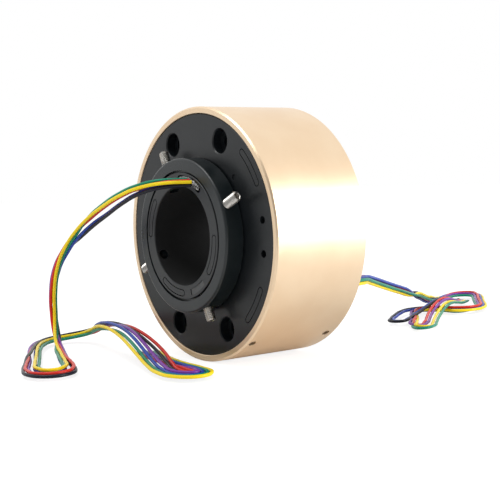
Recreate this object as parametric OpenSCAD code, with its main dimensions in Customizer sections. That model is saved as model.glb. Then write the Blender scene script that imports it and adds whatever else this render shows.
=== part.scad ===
// Through-bore slip ring: a rotor clamped on a shaft by radial set screws, inside a stator
// barrel with two covers. The bore axis is Y, the collar faces -Y, and the front rim of the
// barrel is at y = 0. Angles turn about the bore axis, from +X towards +Z.

/* [Bore and clamp collar] */
// Diameter of the shaft bore
bore_d = 38.1; // [34:0.1:42]
// Wall of the hub, from the bore to the seats of the bearings
hub_wall = 5.95; // [5.7:0.05:6.3]
// Bevel at both mouths of the bore
bore_bevel = 0.35; // [0.1:0.05:0.6]
// How far the collar and hub stand out in front of the barrel
nose_len = 8; // [7:0.5:12]
// Thickness of the clamp collar, from its seat on the hub outwards
collar_wall = 4.7; // [4:0.1:6]
// Width of the collar along the axis
collar_len = 7.6; // [6.5:0.1:7.6]
// Radius of the collar's front edge
collar_round = 0.9; // [0.3:0.1:1.5]
// Angle of the first set screw
screw_turn = 24.2; // [20:0.1:28]
// Distance of the set screws from the collar's front face
screw_setback = 2.9; // [2.6:0.1:3.6]
// Thread diameter of the set screws
set_screw_d = 3.9; // [3:0.1:4.2]
// Length of the set screws
set_screw_len = 10; // [8:0.5:12]
// How far each set screw stands out of the collar, in turn
set_screw_proud = [6.8, 5.7, 5.5, 5.0];

/* [Barrel] */
// Outside diameter of the barrel
barrel_d = 99; // [98.4:0.2:104]
// Length of the barrel
barrel_len = 43; // [43:0.5:50]
// Wall of the barrel where the covers sit
barrel_wall = 2.5; // [2:0.1:3]
// Step that stops each cover inside the barrel
barrel_step = 1; // [0.5:0.1:1.2]
// Bevel round both rims of the barrel
rim_bevel = 0.6; // [0.2:0.1:1]
// How far each cover lies below its rim
cover_recess = 0.3; // [0.1:0.1:1]

/* [Covers] */
// Thickness of the front cover's plate
front_plate = 5.5; // [5.2:0.1:6]
// Thickness of the rear cover's plate
rear_plate = 7.2; // [6.6:0.1:7.8]
// Share of the way from the bearing to the cover's edge at which the four cover holes lie
cover_hole_share = 0.45; // [0.42:0.01:0.5]
// Half the angle between two neighbouring cover holes
cover_hole_half = 24.4; // [22:0.1:27]
// Diameter of the counterbores
counterbore_d = 9.2; // [8:0.1:9.6]
// Depth of the counterbores
counterbore_depth = 4.2; // [1:0.1:4.4]
// Bevel round the mouths of the counterbores
counterbore_bevel = 0.4; // [0.1:0.1:0.6]
// Diameter of the cover holes
cover_hole_d = 5.5; // [4.2:0.1:6]
// Distance of the two bracket holes from the cover's edge
bracket_hole_inset = 5.6; // [5:0.05:7]
// Half the angle between the bracket holes
bracket_hole_half = 8.5; // [6:0.1:9]
// Diameter of the bracket holes
bracket_hole_d = 2.9; // [2:0.1:3]
// Distance of the middle of the kidney slots from the cover's edge
cover_slot_inset = 4.1; // [3.7:0.05:4.4]
// Angle of the middle of each kidney slot from +X
cover_slot_turn = 36.5; // [35:0.1:38]
// Half the angle from end centre to end centre of a cover slot
cover_slot_half = 9.5; // [7:0.1:10]
// Width of the cover slots
cover_slot_w = 2.8; // [2.4:0.1:3]
// Angle of the radial cover screws
cover_screw_turn = -54; // [-56:0.5:-53]
// Thread diameter of the radial cover screws
cover_screw_d = 3; // [2:0.1:3.2]
// Distance of the front cover screws from the front rim
front_screw_y = 2.7; // [2.5:0.1:3.5]
// Distance of the rear cover screws from the rear rim
rear_screw_y = 4.4; // [3:0.1:5]
// Radius on which the moulding dimple lies
dimple_radius = 32.7; // [32:0.1:34]
// Angle of the moulding dimple from +X
dimple_turn = 41.6; // [35:0.1:55]
// Diameter of the moulding dimple
dimple_d = 2.4; // [1.5:0.1:3]

/* [Hub slots] */
// Distance of the middle of the hub's kidney slots from the bore
hub_slot_inset = 2.95; // [2.75:0.05:3.1]
// Width of the hub slots
hub_slot_w = 2.8; // [2.2:0.1:2.8]
// Half the angle from end centre to end centre of a hub slot
hub_slot_half = 17.5; // [12:0.5:18]
// Angle of the first blank slot
hub_slot_turn = -18.5; // [-20:0.5:-17]
// Depth of the blank slots
blank_depth = 0.8; // [0.4:0.1:0.8]
// Gap all round a plug in its slot
plug_gap = 0.35; // [0.1:0.05:0.4]
// Depth of the short slot
short_slot_depth = 0.7; // [0.4:0.1:0.8]

/* [Bearings] */
// Height of both bearings, from their bore to their outside
bearing_height = 7.5; // [6.8:0.1:8]
// Width of both bearings
bearing_w = 7; // [6.6:0.1:7]
// Diameter of the balls, as a share of the height between bore and outside
ball_share = 0.64; // [0.54:0.01:0.66]
// Number of balls in each bearing
balls = 16; // [10:1:17]

/* [Slip rings] */
// Number of circuits
circuits = 6; // [3:1:6]
// Thickness of the insulator under the slip rings
ring_base = 2; // [1.5:0.1:2.5]
// Thickness of the slip rings
ring_t = 3; // [1.5:0.1:3]
// Width of a slip ring, as a share of the distance from one ring to the next
ring_share = 0.6; // [0.3:0.05:0.6]
// Height of the insulating walls above the rings
wall_proud = 1.2; // [0.5:0.1:1.5]
// Diameter of the brush wires
brush_d = 0.5; // [0.3:0.05:0.7]
// Gap between brush wire and ring
brush_gap = 0.3; // [0.1:0.05:0.5]

/* [Leads] */
// Diameter of each bundle of leads
bundle_d = 4; // [3.6:0.1:4]

/* [Hidden] */
$fn = 96;
fit = 0.02;
run_gap = 0.05;
// Angle by which a slot's arc stops short of the centres of its round ends
slot_join_turn = 0.2;
// How much narrower a slot's round ends are than the slot
slot_ease = 0.1;

// Rotor
bore_r = bore_d / 2;
seat_r = bore_r + hub_wall;
collar_seat_r = seat_r + 0.2;
collar_r = collar_seat_r + collar_wall;
hub_slot_radius = bore_r + hub_slot_inset;
nose_r = seat_r - 0.6;
nose_groove = 1.5;
shoulder_r = seat_r + 1.2;
collar_back = collar_len - nose_len;
hub_end = barrel_len + 1;
set_screw_y = screw_setback - nose_len;
set_hole_r = set_screw_d / 2 + run_gap;
hex_across = set_screw_d / 2;
key_depth = 2.5;

// Covers
cover_r = barrel_d / 2 - barrel_wall - run_gap;
front_face = cover_recess;
front_back = front_face + front_plate;
rear_face = barrel_len - cover_recess;
rear_front = rear_face - rear_plate;
lip = 1.7;
bearing_r = seat_r + bearing_height;
boss_r = bearing_r + 3.5;
boss_gap = 0.5;
cover_hole_radius = bearing_r + cover_hole_share * (cover_r - bearing_r);
bracket_hole_radius = cover_r - bracket_hole_inset;
cover_slot_radius = cover_r - cover_slot_inset;
front_opening_r = shoulder_r + boss_gap;
rear_opening_r = shoulder_r + 2.3;
bracket_hole_depth = 4.6;
cover_slot_depth = 2;
dimple_depth = 0.4;

// Bearings
front_bearing_y = front_face + lip;
rear_bearing_y = rear_face - lip - bearing_w;
pitch_r = seat_r + bearing_height / 2;
ball_d = ball_share * bearing_height;
groove_r = ball_d / 2 + run_gap;
race_t = 0.307 * bearing_height;
cage_t = 0.173 * bearing_height;
cage_w = 1.25 * ball_d;
shield_t = 0.3;
split_turn = 140;
split_w = 6;

// Ring stack
stack_front = front_bearing_y + bearing_w;
stack_len = rear_bearing_y - stack_front;
ring_pitch = stack_len / (circuits + 0.25);
ring_w = ring_share * ring_pitch;
ring_in_r = seat_r + ring_base;
ring_r = ring_in_r + ring_t;
wall_r = ring_r + wall_proud;
wire_r = 0.45;
wire_turn_step = 5.5;
function ring_mid(i) = stack_front + stack_len / 2 + (i - (circuits + 1) / 2) * ring_pitch;

// Lead slot of the hub and its wires
slot_turn_step = 90;
lead_slot_turn = hub_slot_turn + slot_turn_step;
short_slot_turn = hub_slot_turn - slot_turn_step / 2;
channel_end = ring_mid(circuits) + 2;
potting_back = -2;
potting_proud = 0.6;
function rotor_wire_turn(i) = lead_slot_turn + (i - (circuits + 1) / 2) * wire_turn_step;

// Brush block, carried on two posts between the covers
barrel_in_r = barrel_d / 2 - barrel_wall - barrel_step;
block_half = 13.2;
block_end = 1.2;
board_half = block_half + 0.4;
board_gap = 0.24;
board_out = sqrt(barrel_in_r * barrel_in_r - board_half * board_half) - board_gap;
block_room = board_out - boss_r;
block_in = boss_r + 0.195 * block_room;
board_t = 0.156 * block_room;
block_out = board_out - board_t;
pin_r = 0.8;
pin_proud = 1.2;
pin_in = block_in - pin_proud;
pin_out = board_out + pin_proud;
post_r = 0.32 * (block_out - block_in);
post_x = (block_in + block_out) / 2;
post_z = block_half - 0.8 - post_r;
post_sink = 1;
contact_r = ring_r + brush_gap + brush_d / 2;
brush_x = pin_in + 0.4;
brush_turn = acos(contact_r / brush_x);
brush_reach = sqrt(brush_x * brush_x - contact_r * contact_r) + 4;

// Lead slot of the rear cover and its wires
stator_wire_first_turn = 29.5;
stator_wire_turn_step = 2.8;
rear_potting_front = rear_face - 5;
rear_potting_proud = 0.5;
function stator_wire_turn(i) = -stator_wire_first_turn - (circuits - i) * stator_wire_turn_step;

// Where each bundle of leads starts, and the height at which it lies level with the barrel
bundle_sides = 8;
lead_exit_turn = 68.8;
rotor_start = [
    (hub_slot_radius + 0.1) * cos(lead_exit_turn),
    -nose_len - potting_proud,
    (hub_slot_radius + 0.1) * sin(lead_exit_turn)
];
rear_exit_turn = -28.8;
stator_start = [
    cover_slot_radius * cos(rear_exit_turn),
    rear_face + rear_potting_proud,
    cover_slot_radius * sin(rear_exit_turn)
];
low_z = bundle_d / 2 + 0.1 - barrel_d / 2;

// Ways of the lead bundles to their bare ends, moved to their starts and laid at that height
function laid(way, start) =
    let (stretch = (start.z - low_z) / (way[0].z - min([for (p = way) p.z])))
    [for (p = way) [
        p.x + start.x - way[0].x,
        p.y + start.y - way[0].y,
        start.z + (p.z - way[0].z) * stretch
    ]];
rotor_way = [
    [8, -8.6, 20.6], [8, -14, 20.6], [4, -19, 20.6], [-7, -22.5, 18.8], [-18.5, -24, 15.7],
    [-31, -24.5, 11.3], [-43, -25, 6.4], [-54.5, -25.5, -0.6], [-65, -26, -8], [-72.5, -26, -17],
    [-75.5, -26, -28], [-74.5, -26, -38.5], [-69, -28, -45.6], [-60, -32, -47.4],
    [-46, -38, -47.4], [-32, -44, -47.4], [-18.5, -49, -47.4], [-10, -53.5, -47.4],
    [-7.5, -60.5, -47.4], [-13.5, -65, -47.4], [-22, -62, -47.4], [-34.5, -55.5, -47.4],
    [-48, -48.5, -47.4],
    [-62, -41.5, -47.4], [-76, -33.5, -47.4], [-86, -24, -47.4], [-89, -14, -47.4],
    [-84, -7, -46.9], [-74, -7.5, -43.8], [-60.5, -12, -40.2], [-47, -15.5, -38.4],
    [-33, -17.5, -38.3], [-20, -20.5, -40.1], [-7, -23.5, -43.2], [6, -27, -46.3],
    [18, -30.5, -47.4], [29, -32, -47.4], [36, -28, -47.4], [35.5, -20.5, -47.4],
    [26.5, -17.5, -47.4], [14, -17, -47.4], [1, -14.5, -47.4], [-12, -10.5, -47.4],
    [-24, -6, -47.4]
];
stator_way = [
    [37.5, 43.2, -20.6], [37.5, 49.5, -20.6], [32.5, 56.5, -20.3], [23.5, 66, -21.1],
    [13, 81, -24], [3.5, 96, -27.3], [-6.5, 111.5, -30.7], [-16, 127, -34],
    [-26, 142.5, -37.7], [-35.5, 157.5, -41.2], [-44.5, 171.5, -44.7], [-52.5, 185.5, -47.2],
    [-59.5, 200, -47.4], [-64.5, 212, -47.4], [-64, 220.5, -47.4], [-56.5, 222, -47.4],
    [-47, 213, -47.4], [-36, 201, -47.4], [-25.5, 190.5, -47.4], [-15.5, 180, -47.4],
    [-10, 171.5, -47.4], [-13.5, 164.5, -47.4], [-23, 163.5, -47.4], [-33, 162, -47.4],
    [-37.5, 155.5, -47.4], [-33, 147.5, -47.4], [-23, 137.5, -47.4], [-12.5, 127, -47.4],
    [-3, 116.5, -47.4], [3.5, 109.5, -47.4], [10.5, 107.5, -47.4], [14, 113, -47.4],
    [9, 120, -47.4], [0, 129, -47.4], [-9, 138.5, -47.4], [-17, 148, -46.2],
    [-22, 157.5, -43], [-26.5, 167, -42], [-31.5, 177, -44.2], [-37.5, 187, -47.2],
    [-44, 197, -47.4]
];
rotor_route = laid(rotor_way, rotor_start);
stator_route = laid(stator_way, stator_start);

// Turns a shape drawn round Z so that it lies round Y, with its angles kept
module round_axis(y = 0) {
    translate([0, y, 0]) rotate([-90, 0, 0]) mirror([0, 1, 0]) children();
}

// Puts a shape drawn on +Z on a radius of the bore axis
module on_radius(turn, y, radius = 0) {
    translate([0, y, 0]) rotate([0, 90 - turn, 0]) translate([0, 0, radius]) children();
}

// A ring round the bore axis, from y to y + len
module ring(inner, outer, y, len) {
    round_axis(y) difference() {
        cylinder(r = outer, h = len);
        translate([0, 0, -1]) cylinder(r = inner, h = len + 2);
    }
}

// A body of revolution from [radius, y] points
module turned(points) {
    round_axis() rotate_extrude() polygon(points);
}

// The flat outline of an arc-shaped bar, and the same bar with round ends
module arc_outline(radius, width, half, turn) {
    reach = 2 * radius;
    intersection() {
        difference() {
            circle(r = radius + width / 2);
            circle(r = radius - width / 2);
        }
        polygon([
            [0, 0],
            [reach * cos(turn - half), reach * sin(turn - half)],
            [reach * cos(turn + half), reach * sin(turn + half)]
        ]);
    }
}
module kidney_outline(radius, width, half, turn) {
    union() {
        arc_outline(radius, width, half - slot_join_turn, turn);
        for (side = [-1, 1])
            rotate(turn + side * half) translate([radius, 0])
                circle(d = width - slot_ease, $fn = 32);
    }
}

// An arc-shaped slot with round ends, from y to y + depth
module kidney(radius, width, half, turn, y, depth) {
    round_axis(y) linear_extrude(depth) kidney_outline(radius, width, half, turn);
}

// An arc-shaped slot with square ends, from y to y + depth
module arc_bar(radius, width, half, turn, y, depth) {
    round_axis(y) linear_extrude(depth) arc_outline(radius, width, half, turn);
}

// A straight round wire from one point to another
module wire(from, to, radius) {
    way = to - from;
    flat = sqrt(way.x * way.x + way.y * way.y);
    translate(from)
        rotate([0, atan2(flat, way.z), atan2(way.y, way.x)])
            cylinder(r = radius, h = norm(way), $fn = 16);
}

// Unit tangents and normals along a route, then a tube of round section on them
function unit(v) = v / norm(v);
function tangents(p) = [for (i = [0 : len(p) - 1])
    unit(p[min(i + 1, len(p) - 1)] - p[max(i - 1, 0)])];
function normals(t, i, n) = i == len(t) ? [] :
    let (m = unit(n - t[i] * (n * t[i]))) concat([m], normals(t, i + 1, m));
module tube(route, diameter, sides) {
    t = tangents(route);
    n = normals(t, 0, [1, 0, 0]);
    last = (len(route) - 1) * sides;
    points = [for (i = [0 : len(route) - 1], k = [0 : sides - 1])
        route[i] + diameter / 2 * (cos(360 * k / sides) * n[i] + sin(360 * k / sides) * cross(t[i], n[i]))];
    walls = [for (i = [0 : len(route) - 2], k = [0 : sides - 1])
        let (a = i * sides + k, b = i * sides + (k + 1) % sides) [a, a + sides, b + sides, b]];
    ends = [[for (k = [0 : sides - 1]) k], [for (k = [sides - 1 : -1 : 0]) last + k]];
    polyhedron(points, concat(walls, ends));
}

// Rotor: the hollow hub, with its shoulder, seats, lead channel and set screw holes
module rotor_hub() {
    groove_y = rear_bearing_y + bearing_w;
    color("#2d3133") difference() {
        turned([
            [bore_r + bore_bevel, -nose_len], [nose_r - 0.2, -nose_len],
            [nose_r, 0.2 - nose_len], [nose_r, nose_groove - nose_len],
            [collar_seat_r, nose_groove - nose_len], [collar_seat_r, collar_back],
            [shoulder_r, collar_back], [shoulder_r, front_bearing_y],
            [seat_r, front_bearing_y], [seat_r, groove_y], [seat_r - 1, groove_y],
            [seat_r - 1, groove_y + 1.2], [seat_r, groove_y + 1.2],
            [seat_r, hub_end - 0.4], [seat_r - 0.4, hub_end],
            [bore_r + bore_bevel, hub_end], [bore_r, hub_end - bore_bevel],
            [bore_r, bore_bevel - nose_len]
        ]);
        for (i = [0 : 3])
            on_radius(screw_turn + slot_turn_step * i, set_screw_y)
                cylinder(r = set_hole_r, h = seat_r + 2);
        for (i = [0, 2, 3])
            kidney(hub_slot_radius, hub_slot_w, hub_slot_half, hub_slot_turn + slot_turn_step * i,
                -nose_len - 1, blank_depth + 1);
        kidney(hub_slot_radius, hub_slot_w, hub_slot_half, lead_slot_turn,
            -nose_len - 1, channel_end + nose_len + 1);
        arc_bar(hub_slot_radius, hub_slot_w - 0.4, hub_slot_half - 5, short_slot_turn,
            -nose_len - 1, short_slot_depth + 1);
        for (i = [1 : circuits])
            on_radius(rotor_wire_turn(i), ring_mid(i), hub_slot_radius)
                cylinder(r = wire_r + 0.25, h = seat_r, $fn = 24);
    }
}

// Rotor: the clamp collar that carries the four set screws
module clamp_collar() {
    back = collar_back - fit;
    color("#34383a") difference() {
        round_axis() rotate_extrude() difference() {
            translate([collar_seat_r + fit, -nose_len])
                square([collar_r - collar_seat_r - fit, nose_len + back]);
            translate([collar_r - collar_round, -nose_len]) difference() {
                translate([0, -1]) square([collar_round + 1, collar_round + 1]);
                translate([0, collar_round]) circle(r = collar_round);
            }
        }
        for (i = [0 : 3])
            on_radius(screw_turn + slot_turn_step * i, set_screw_y, seat_r - 2)
                cylinder(r = set_hole_r, h = collar_r);
    }
}

// Rotor: one of the blank plugs that close the unused hub slots
module hub_slot_plug(turn) {
    color("#33373a")
        kidney(hub_slot_radius, hub_slot_w - 2 * plug_gap, hub_slot_half, turn,
            -nose_len, blank_depth - fit);
}

// Rotor: cast resin that half fills the short slot over a set screw
module short_slot_fill() {
    color("#3c3f42")
        arc_bar(hub_slot_radius, hub_slot_w - 0.4 - 2 * fit, hub_slot_half - 5.1,
            short_slot_turn, 0.25 - nose_len, short_slot_depth - 0.25);
}

// Rotor: clear silicone that seals the lead slot round the leads
module rotor_lead_potting() {
    color("#d8d8d2") difference() {
        kidney(hub_slot_radius, hub_slot_w - 2 * fit, hub_slot_half, lead_slot_turn,
            -nose_len - potting_proud, nose_len + potting_proud + potting_back);
        for (i = [1 : circuits])
            on_radius(rotor_wire_turn(i), potting_back - 1, hub_slot_radius)
                rotate([-90, 0, 0]) cylinder(r = wire_r + fit, h = 2, $fn = 16);
    }
}

// Rotor: moulded insulator with a groove for each slip ring
module ring_insulator() {
    color("#6b5a3a") difference() {
        ring(seat_r + fit, wall_r, stack_front + fit, stack_len - 2 * fit);
        for (i = [1 : circuits]) {
            ring(ring_in_r, wall_r + 1, ring_mid(i) - ring_w / 2, ring_w);
            on_radius(rotor_wire_turn(i), ring_mid(i), hub_slot_radius)
                cylinder(r = wire_r + 0.25, h = ring_r - hub_slot_radius, $fn = 24);
        }
    }
}

// Rotor: a slip ring, with the shallow groove that its brush runs in
module slip_ring(i) {
    color("#d9a441") round_axis(ring_mid(i)) rotate_extrude() difference() {
        translate([ring_in_r + fit, fit - ring_w / 2]) square([ring_t - fit, ring_w - 2 * fit]);
        translate([ring_r + 1.1, 0]) circle(r = 1.25, $fn = 32);
    }
}

// Rotor: a wire from the lead slot to each slip ring
module rotor_wires() {
    color("#c8552b") for (i = [1 : circuits]) {
        turn = rotor_wire_turn(i);
        foot = hub_slot_radius * [cos(turn), 0, sin(turn)];
        top = (ring_in_r - run_gap) * [cos(turn), 0, sin(turn)];
        union() {
            wire(foot + [0, potting_back - 0.8, 0], foot + [0, ring_mid(i), 0], wire_r);
            translate(foot + [0, ring_mid(i), 0]) sphere(r = wire_r + fit, $fn = 16);
            wire(foot + [0, ring_mid(i), 0], top + [0, ring_mid(i), 0], wire_r);
        }
    }
}

// Bearing parts, from the bearing's front face at y
module inner_race(y) {
    color("#b9bec2") round_axis(y) rotate_extrude() difference() {
        translate([seat_r + fit, fit]) square([race_t - fit, bearing_w - 2 * fit]);
        translate([pitch_r, bearing_w / 2]) circle(r = groove_r, $fn = 48);
    }
}
module outer_race(y) {
    color("#b9bec2") round_axis(y) rotate_extrude() difference() {
        translate([bearing_r - race_t, fit]) square([race_t - fit, bearing_w - 2 * fit]);
        translate([pitch_r, bearing_w / 2]) circle(r = groove_r, $fn = 48);
    }
}
module shield(y) {
    color("#8d9398")
        ring(seat_r + race_t + 0.3, bearing_r - race_t - fit, y, shield_t);
}
module ball_set(y) {
    color("#dfe3e6") for (i = [1 : balls])
        rotate([0, 360 * i / balls, 0])
            translate([pitch_r, y + bearing_w / 2, 0]) sphere(d = ball_d, $fn = 24);
}
module cage(y) {
    color("#8a6d3b") difference() {
        ring(pitch_r - cage_t / 2, pitch_r + cage_t / 2, y + (bearing_w - cage_w) / 2, cage_w);
        for (i = [1 : balls])
            rotate([0, 360 * i / balls, 0]) translate([pitch_r - 3, y + bearing_w / 2, 0])
                rotate([0, 90, 0]) cylinder(d = ball_d + 0.2, h = 6, $fn = 24);
    }
}

// Rotor: split ring that holds the stack on the hub
module retaining_ring() {
    groove_y = rear_bearing_y + bearing_w;
    color("#6f7478") difference() {
        ring(seat_r - 0.9, seat_r + 1.4, groove_y + fit, 1.2 - 2 * fit);
        on_radius(split_turn, groove_y + 0.6, seat_r - 3)
            translate([-split_w / 2, -2, 0]) cube([split_w, 4, 6]);
    }
}

// Rotor: the bundle of leads of the rotor, laid out in front
module rotor_leads() {
    color("#e8c21a") tube(rotor_route, bundle_d, bundle_sides);
}

// A set screw with a hexagon socket, backed out of its hole
module set_screw(i) {
    end = collar_r + set_screw_proud[i - 1];
    color("#c9ccce") on_radius(screw_turn + slot_turn_step * (i - 1), set_screw_y, end - set_screw_len)
        difference() {
            union() {
                cylinder(d1 = set_screw_d - 1.2, d2 = set_screw_d, h = 0.6);
                translate([0, 0, 0.6]) cylinder(d = set_screw_d, h = set_screw_len - 0.9);
                translate([0, 0, set_screw_len - 0.3])
                    cylinder(d1 = set_screw_d, d2 = set_screw_d - 0.6, h = 0.3);
            }
            translate([0, 0, set_screw_len - key_depth])
                cylinder(d = hex_across / cos(30), h = key_depth + 1, $fn = 6);
        }
}

// Stator: the barrel, with a step inside each end where a cover stops
module barrel() {
    outer = barrel_d / 2;
    inner = outer - barrel_wall;
    color("#e3bd94") difference() {
        turned([
            [inner + 0.2, 0], [outer - rim_bevel, 0], [outer, rim_bevel],
            [outer, barrel_len - rim_bevel], [outer - rim_bevel, barrel_len],
            [inner + 0.2, barrel_len], [inner, barrel_len - 0.2], [inner, rear_front],
            [inner - barrel_step, rear_front], [inner - barrel_step, front_back],
            [inner, front_back], [inner, 0.2]
        ]);
        for (turn = [cover_screw_turn, cover_screw_turn + 180])
            for (y = [front_screw_y, barrel_len - rear_screw_y])
                on_radius(turn, y, inner - 2) cylinder(d = cover_screw_d, h = 8, $fn = 32);
    }
}

// Holes for the ends of the brush posts, in a plate whose inner face is at y
module post_holes(y, way) {
    for (side = [-1, 1])
        translate([post_x, y, side * post_z]) rotate([-90 * way, 0, 0])
            translate([0, 0, -1]) cylinder(r = post_r, h = post_sink + 1 + run_gap, $fn = 32);
}

// Stator: the front cover, with its bearing seat, counterbored holes and slots
module front_cover() {
    color("#3a3e41") difference() {
        turned([
            [front_opening_r, front_face], [cover_r - 0.4, front_face],
            [cover_r, front_face + 0.4], [cover_r, front_back - run_gap],
            [boss_r, front_back - run_gap], [boss_r, stack_front], [bearing_r, stack_front],
            [bearing_r, front_bearing_y], [front_opening_r, front_bearing_y]
        ]);
        for (mid = [90, 270], side = [-1, 1])
            rotate([0, -(mid + side * cover_hole_half), 0]) translate([cover_hole_radius, 0, 0]) {
                round_axis(front_face - 1) cylinder(d = counterbore_d, h = counterbore_depth + 1);
                round_axis(front_face - counterbore_bevel)
                    cylinder(d1 = counterbore_d + 4 * counterbore_bevel, d2 = counterbore_d,
                        h = 2 * counterbore_bevel);
                round_axis(front_face) cylinder(d = cover_hole_d, h = front_plate + 1);
            }
        for (side = [-1, 1])
            rotate([0, -side * bracket_hole_half, 0]) translate([bracket_hole_radius, 0, 0])
                round_axis(front_face - 1) cylinder(d = bracket_hole_d, h = bracket_hole_depth + 1);
        for (side = [-1, 1])
            kidney(cover_slot_radius, cover_slot_w, cover_slot_half, side * cover_slot_turn,
                front_face - 1, cover_slot_depth + 1);
        rotate([0, -dimple_turn, 0]) translate([dimple_radius, 0, 0])
            round_axis(front_face - 1) cylinder(d = dimple_d, h = 1 + dimple_depth, $fn = 32);
        for (turn = [cover_screw_turn, cover_screw_turn + 180])
            on_radius(turn, front_screw_y, cover_r - 3.5)
                cylinder(d = cover_screw_d, h = 8, $fn = 32);
        post_holes(front_back - run_gap, -1);
    }
}

// Stator: the rear cover, with its bearing seat and lead slot
module rear_cover() {
    color("#3a3e41") difference() {
        turned([
            [rear_opening_r, rear_face], [cover_r - 0.4, rear_face],
            [cover_r, rear_face - 0.4], [cover_r, rear_front + run_gap],
            [boss_r, rear_front + run_gap], [boss_r, rear_bearing_y], [bearing_r, rear_bearing_y],
            [bearing_r, rear_face - lip], [rear_opening_r, rear_face - lip]
        ]);
        kidney(cover_slot_radius, cover_slot_w, cover_slot_half, -cover_slot_turn,
            rear_front - 1, rear_plate + 2);
        kidney(cover_slot_radius, cover_slot_w, cover_slot_half, cover_slot_turn,
            rear_face - cover_slot_depth, cover_slot_depth + 1);
        for (turn = [cover_screw_turn, cover_screw_turn + 180])
            on_radius(turn, barrel_len - rear_screw_y, cover_r - 3.5)
                cylinder(d = cover_screw_d, h = 8, $fn = 32);
        post_holes(rear_front + run_gap, 1);
    }
}

// Stator: a blank plug that closes an unused slot of a cover
module cover_slot_plug(turn, y) {
    color("#3d4144")
        kidney(cover_slot_radius, cover_slot_w - 2 * plug_gap, cover_slot_half, turn, y,
            cover_slot_depth - fit);
}

// Stator: a sunk screw through the barrel into a cover
module cover_screw(i) {
    turn = cover_screw_turn + (i % 2 == 0 ? 180 : 0);
    y = i <= 2 ? front_screw_y : barrel_len - rear_screw_y;
    len = 5;
    color("#1e1f20") on_radius(turn, y, barrel_d / 2 - 0.9 - len) difference() {
        cylinder(d = cover_screw_d - 2 * fit, h = len, $fn = 32);
        translate([0, 0, len - 1.6]) cylinder(d = 1.5 / cos(30), h = 2, $fn = 6);
    }
}

// Stator: the moulded block that holds the brushes, and its circuit board
module brush_bar(inner, outer, half) {
    first = ring_mid(1) - ring_pitch / 2 - block_end;
    last = ring_mid(circuits) + ring_pitch / 2 + block_end;
    difference() {
        translate([inner, first, -half]) cube([outer - inner, last - first, 2 * half]);
        for (i = [1 : circuits])
            translate([inner - 1, ring_mid(i), 0]) rotate([0, 90, 0])
                cylinder(r = pin_r + fit, h = outer - inner + 2, $fn = 24);
        for (side = [-1, 1])
            translate([post_x, first - 1, side * post_z]) rotate([-90, 0, 0])
                cylinder(r = post_r + fit, h = last - first + 2, $fn = 32);
    }
}
module brush_block() {
    color("#1d3b2a") brush_bar(block_in, block_out - fit, block_half);
}
module brush_board() {
    color("#1f6b3a") brush_bar(block_out, block_out + board_t, board_half);
}

// Stator: one of the two posts that carry the brush block
module brush_post(side) {
    color("#b7bbbe") translate([post_x, front_back - post_sink, side * post_z])
        rotate([-90, 0, 0])
            cylinder(r = post_r - fit, h = rear_front - front_back + 2 * post_sink, $fn = 32);
}

// Stator: a brush, two spring wires in a V on a terminal pin
module brush(i) {
    y = ring_mid(i);
    tip_x = brush_x - brush_reach * sin(brush_turn);
    color("#e0b34a") union() {
        translate([pin_in, y, 0]) rotate([0, 90, 0])
            cylinder(r = pin_r, h = pin_out - pin_in, $fn = 24);
        for (side = [-1, 1])
            wire([brush_x, y, 0], [tip_x, y, side * brush_reach * cos(brush_turn)], brush_d / 2);
    }
}

// Stator: a wire from the board to the lead slot for each circuit
module stator_wires() {
    color("#2f5fb0") for (i = [1 : circuits]) {
        turn = stator_wire_turn(i);
        foot = cover_slot_radius * [cos(turn), 0, sin(turn)];
        corner = foot + [0, ring_mid(i), 0];
        board_edge = [block_out + board_t / 2, ring_mid(i), wire_r - board_half];
        union() {
            wire(board_edge - [0, 0, 2 * wire_r], corner, wire_r);
            translate(corner) sphere(r = wire_r + fit, $fn = 16);
            wire(corner, foot + [0, rear_potting_front + 0.8, 0], wire_r);
        }
    }
}

// Stator: silicone that seals the lead slot of the rear cover
module stator_lead_potting() {
    color("#d8d8d2") difference() {
        kidney(cover_slot_radius, cover_slot_w - 2 * fit, cover_slot_half, -cover_slot_turn,
            rear_potting_front, rear_face - rear_potting_front + rear_potting_proud);
        for (i = [1 : circuits])
            rotate([0, -stator_wire_turn(i), 0]) translate([cover_slot_radius, 0, 0])
                round_axis(rear_potting_front - 1) cylinder(r = wire_r + fit, h = 2, $fn = 16);
    }
}

// Stator: the bundle of leads of the stator, laid out behind
module stator_leads() {
    color("#3f5f9a") tube(stator_route, bundle_d, bundle_sides);
}

rotor_hub();
clamp_collar();
hub_slot_plug(hub_slot_turn);  // hub_slot_plug_1
hub_slot_plug(hub_slot_turn + 2 * slot_turn_step);  // hub_slot_plug_2
hub_slot_plug(hub_slot_turn + 3 * slot_turn_step);  // hub_slot_plug_3
short_slot_fill();
rotor_lead_potting();
ring_insulator();
for (i = [1 : circuits])
    slip_ring(i);
rotor_wires();
inner_race(front_bearing_y);  // front_inner_race
inner_race(rear_bearing_y);  // rear_inner_race
retaining_ring();
rotor_leads();
for (i = [1 : 4])
    set_screw(i);
ball_set(front_bearing_y);  // front_balls
cage(front_bearing_y);  // front_cage
ball_set(rear_bearing_y);  // rear_balls
cage(rear_bearing_y);  // rear_cage
barrel();
front_cover();
rear_cover();
cover_slot_plug(cover_slot_turn, front_face);  // front_slot_plug_1
cover_slot_plug(-cover_slot_turn, front_face);  // front_slot_plug_2
cover_slot_plug(cover_slot_turn, rear_face - cover_slot_depth + fit);  // rear_slot_plug
for (i = [1 : 4])
    cover_screw(i);
outer_race(front_bearing_y);  // front_outer_race
outer_race(rear_bearing_y);  // rear_outer_race
shield(front_bearing_y + fit);  // front_shield
shield(rear_bearing_y + bearing_w - shield_t - fit);  // rear_shield
brush_block();
brush_board();
brush_post(1);  // brush_post_1
brush_post(-1);  // brush_post_2
for (i = [1 : circuits])
    brush(i);
stator_wires();
stator_lead_potting();
stator_leads();
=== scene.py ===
import math

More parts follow.
